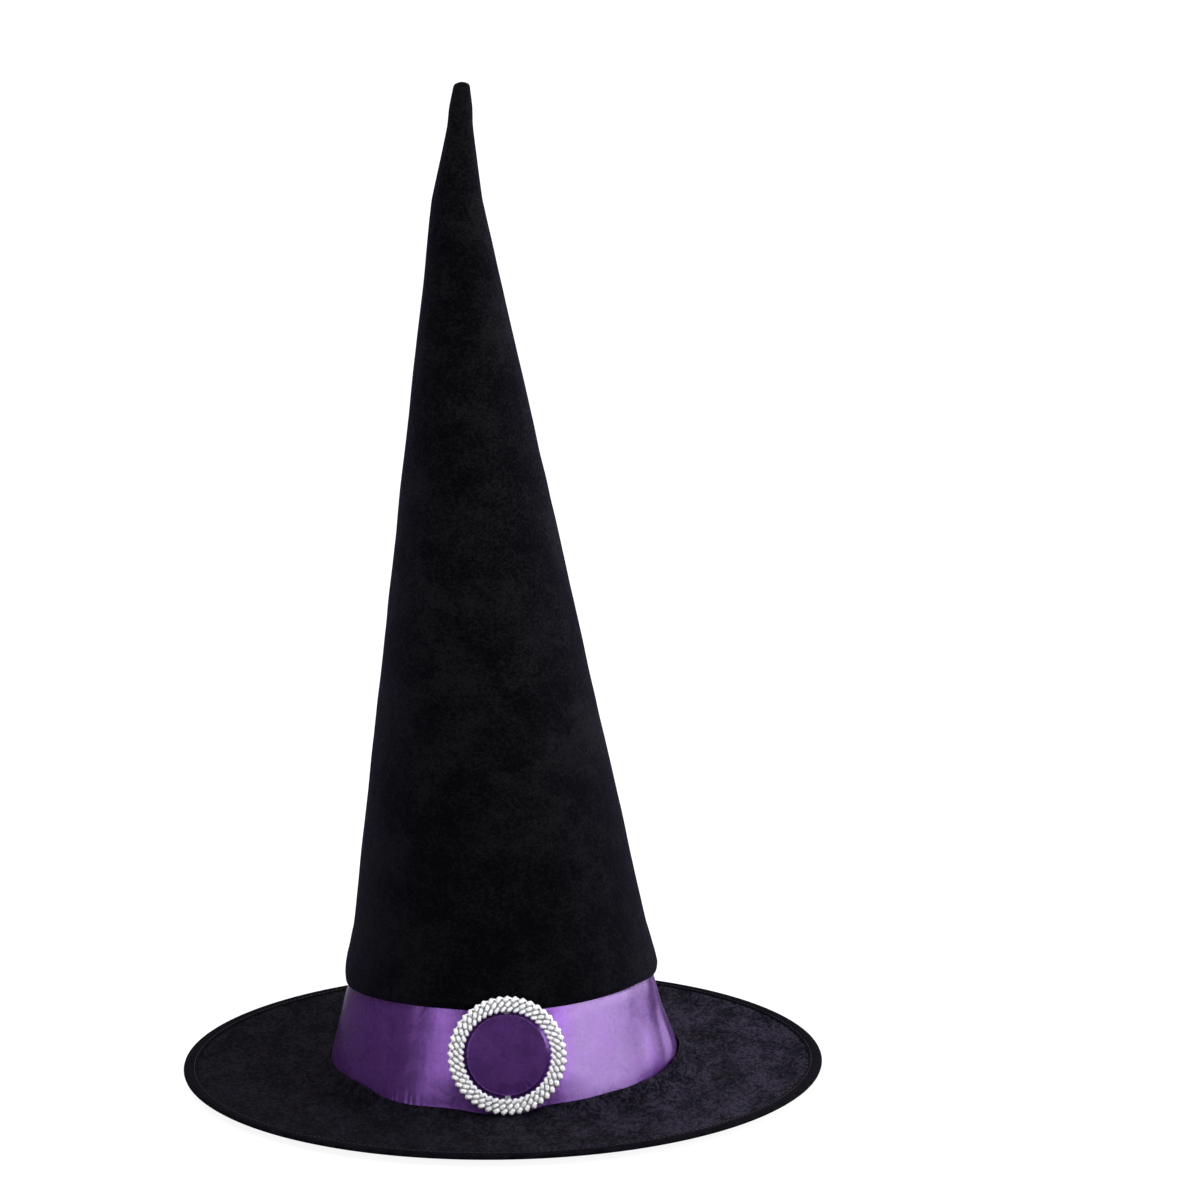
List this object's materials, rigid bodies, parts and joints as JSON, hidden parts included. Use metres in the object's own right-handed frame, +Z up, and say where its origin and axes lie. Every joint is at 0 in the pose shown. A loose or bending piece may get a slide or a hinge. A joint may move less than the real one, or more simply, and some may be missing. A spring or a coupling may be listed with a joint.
{
  "type": "witch hat",
  "caption": "Tall pointed velvet witch hat with a bendable wired cone, a stiff round brim, a satin band and a round stone-set slide buckle.",
  "frame": {"origin": "centre of the head opening on the flat underside of the brim", "axes": "+Z up the cone, -Y towards the front with the buckle, +X towards the viewer's right when the buckle faces the viewer"},
  "size_m": [0.37, 0.37, 0.571],
  "materials": {
    "velvet": "crushed velvet, black",
    "brim_velvet": "crushed velvet, blue-black",
    "lining": "plain woven lining, black",
    "core": "stiff pressed felt and buckram",
    "binding": "folded tape, black",
    "sweatband": "ribbed ribbon, black",
    "satin": "satin ribbon, purple",
    "steel_wire": "annealed wire",
    "silver": "bright plated",
    "stones": "cut and foil-backed"
  },
  "bodies": {
    "brim_and_crown_base": {"brim_top_velvet": "brim_velvet", "brim_core": "core", "brim_underside": "lining", "brim_edge_binding": "binding", "brim_edge_wire": "steel_wire", "crown_base_velvet": "velvet", "crown_collar": "core", "crown_base_lining": "lining", "sweatband": "sweatband", "hat_band": "satin", "buckle_ring": "silver", "buckle_bar": "silver", "rhinestones_inner_row": "stones", "rhinestones_middle_row": "stones", "rhinestones_outer_row": "stones", "armature_wire_0": "steel_wire"},
    "crown_section_1": {"crown_velvet_1": "velvet", "crown_fold_1": "velvet", "crown_lining_1": "lining", "armature_wire_1": "steel_wire"},
    "crown_section_2": {"crown_velvet_2": "velvet", "crown_fold_2": "velvet", "crown_lining_2": "lining", "armature_wire_2": "steel_wire"},
    "crown_section_3": {"crown_velvet_3": "velvet", "crown_fold_3": "velvet", "crown_lining_3": "lining", "armature_wire_3": "steel_wire"},
    "crown_section_4": {"crown_velvet_4": "velvet", "crown_fold_4": "velvet", "crown_lining_4": "lining", "armature_wire_4": "steel_wire"},
    "crown_section_5": {"crown_velvet_5": "velvet", "crown_fold_5": "velvet", "crown_lining_5": "lining", "armature_wire_5": "steel_wire"},
    "crown_section_6": {"crown_velvet_6": "velvet", "crown_fold_6": "velvet", "armature_wire_6": "steel_wire"},
    "crown_section_7": {"crown_velvet_7": "velvet", "crown_fold_7": "velvet", "armature_wire_7": "steel_wire"},
    "crown_section_8": {"crown_velvet_8": "velvet", "crown_fold_8": "velvet", "armature_wire_8": "steel_wire"},
    "crown_tip": {"crown_tip_velvet": "velvet", "crown_fold_9": "velvet", "armature_wire_9": "steel_wire"}
  },
  "joints": [
    {"name": "crown_bend_1", "type": "hinge", "parent": "brim_and_crown_base", "child": "crown_section_1", "pos_m": [-0.00542, 0, 0.205], "axis": [0, 1, 0], "range_deg": [-28, 28], "deforming": ["crown_fold_1"]},
    {"name": "crown_bend_2", "type": "hinge", "parent": "crown_section_1", "child": "crown_section_2", "pos_m": [-0.0078, 0, 0.262], "axis": [0, 1, 0], "range_deg": [-31, 31], "deforming": ["crown_fold_2"]},
    {"name": "crown_bend_3", "type": "hinge", "parent": "crown_section_2", "child": "crown_section_3", "pos_m": [-0.01001, 0, 0.315], "axis": [0, 1, 0], "range_deg": [-33, 33], "deforming": ["crown_fold_3"]},
    {"name": "crown_bend_4", "type": "hinge", "parent": "crown_section_3", "child": "crown_section_4", "pos_m": [-0.01201, 0, 0.363], "axis": [0, 1, 0], "range_deg": [-35, 35], "deforming": ["crown_fold_4"]},
    {"name": "crown_bend_5", "type": "hinge", "parent": "crown_section_4", "child": "crown_section_5", "pos_m": [-0.01384, 0, 0.407], "axis": [0, 1, 0], "range_deg": [-37, 37], "deforming": ["crown_fold_5"]},
    {"name": "crown_bend_6", "type": "hinge", "parent": "crown_section_5", "child": "crown_section_6", "pos_m": [-0.01551, 0, 0.447], "axis": [0, 1, 0], "range_deg": [-42, 42], "deforming": ["crown_fold_6"]},
    {"name": "crown_bend_7", "type": "hinge", "parent": "crown_section_6", "child": "crown_section_7", "pos_m": [-0.01701, 0, 0.483], "axis": [0, 1, 0], "range_deg": [-48, 48], "deforming": ["crown_fold_7"]},
    {"name": "crown_bend_8", "type": "hinge", "parent": "crown_section_7", "child": "crown_section_8", "pos_m": [-0.01736, 0, 0.515], "axis": [0, 1, 0], "range_deg": [-54, 54], "deforming": ["crown_fold_8"]},
    {"name": "crown_bend_9", "type": "hinge", "parent": "crown_section_8", "child": "crown_tip", "pos_m": [-0.01582, 0, 0.542], "axis": [0, 1, 0], "range_deg": [-54, 54], "deforming": ["crown_fold_9"]}
  ]
}
